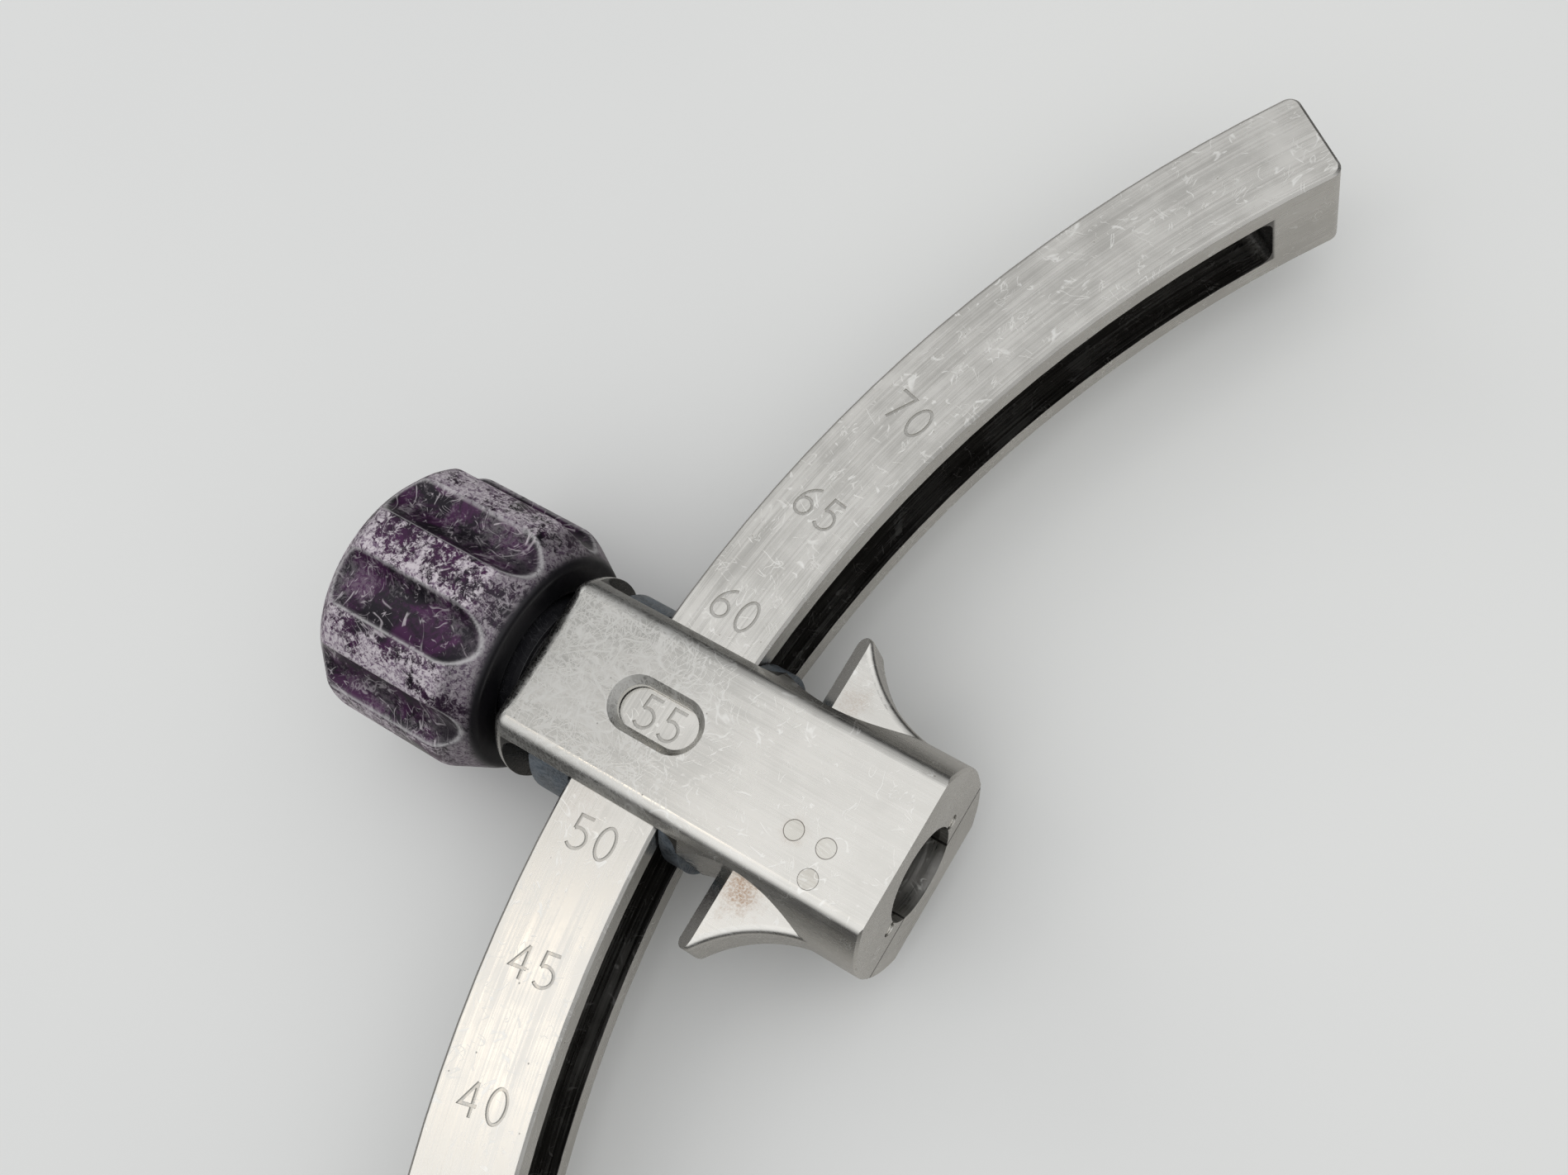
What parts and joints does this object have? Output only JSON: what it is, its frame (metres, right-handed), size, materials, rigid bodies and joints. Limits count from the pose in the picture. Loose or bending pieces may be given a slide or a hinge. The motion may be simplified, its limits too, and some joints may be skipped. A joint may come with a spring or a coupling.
{
  "type": "arc goniometer",
  "caption": "Slotted arc goniometer with an engraved angle scale and a sliding drill-guide carriage clamped by a fluted knob.",
  "frame": {"origin": "centre of the sleeve bore's mouth on the carriage's end face, at rest", "axes": "+X out of the bore towards the arc's centre, +Y along the arc towards the higher numbers, +Z out of the numbered face"},
  "size_m": [0.0788, 0.1828, 0.027],
  "materials": {
    "satin_steel": "satin brushed stainless",
    "pin_steel": "turned stainless",
    "spring_steel": "drawn wire",
    "blue_grey_anodised": "worn anodised",
    "purple_anodised": "scuffed anodised",
    "black_polymer": "gloss",
    "black_rubber": "matt",
    "bronze": "turned",
    "brass": "turned"
  },
  "bodies": {
    "arc": {"arc_bar": "satin_steel"},
    "carriage": {"carriage_body": "satin_steel", "lower_cover": "satin_steel", "cover_dowel": "pin_steel", "cover_screws": "pin_steel", "bore_keys": "pin_steel", "detent_plug_front": "pin_steel", "detent_plug_back": "pin_steel", "detent_spring_front": "spring_steel", "detent_spring_back": "spring_steel", "guide_pad": "blue_grey_anodised", "pad_pins": "pin_steel", "thread_bush": "black_polymer", "bush_o_ring": "black_rubber"},
    "shoe": {"clamp_shoe": "blue_grey_anodised", "thrust_washer": "bronze", "shoe_snap_ring": "spring_steel"},
    "knob": {"knob": "purple_anodised", "clamp_screw": "pin_steel", "knob_lock_ring": "satin_steel"},
    "ball_front": {"detent_ball_front": "pin_steel"},
    "ball_back": {"detent_ball_back": "pin_steel"},
    "arm_pad": {"arm_pressure_pad": "brass"},
    "arm_screw": {"arm_lock_screw": "satin_steel"}
  },
  "joints": [
    {"name": "carriage_on_arc", "type": "hinge", "parent": "arc", "child": "carriage", "pos_m": [0.11, 0, 0], "axis": [0, 0, -1], "range_deg": [-28.2, 30.5]},
    {"name": "shoe_slide", "type": "slide", "parent": "carriage", "child": "shoe", "axis": [1, 0, 0], "range_m": [-0.00075, 0]},
    {"name": "knob_turn", "type": "hinge", "parent": "shoe", "child": "knob", "pos_m": [-0.052, 0, 0], "axis": [1, 0, 0], "range_deg": [-270, 0]},
    {"name": "detent_front", "type": "slide", "parent": "carriage", "child": "ball_front", "axis": [0, 0, 1], "range_m": [0, 0.0003], "stiffness_N_per_m": 80, "springref_m": -0.0003, "deforming": ["detent_spring_front"]},
    {"name": "detent_back", "type": "slide", "parent": "carriage", "child": "ball_back", "axis": [0, 0, 1], "range_m": [0, 0.0003], "stiffness_N_per_m": 80, "springref_m": -0.0003, "deforming": ["detent_spring_back"]},
    {"name": "arm_pad_slide", "type": "slide", "parent": "arc", "child": "arm_pad", "axis": [-0.6508, 0.7593, 0], "range_m": [0, 0.0014]},
    {"name": "arm_screw_turn", "type": "hinge", "parent": "arm_pad", "child": "arm_screw", "pos_m": [0.00598, -0.08916, 0], "axis": [-0.6508, 0.7593, 0], "range_deg": [0, 720]}
  ],
  "couplings": [
    {"joint": "knob_turn", "follows": "shoe_slide", "rad_per_m": 6283.2},
    {"joint": "arm_screw_turn", "follows": "arm_pad_slide", "rad_per_m": 8976}
  ]
}
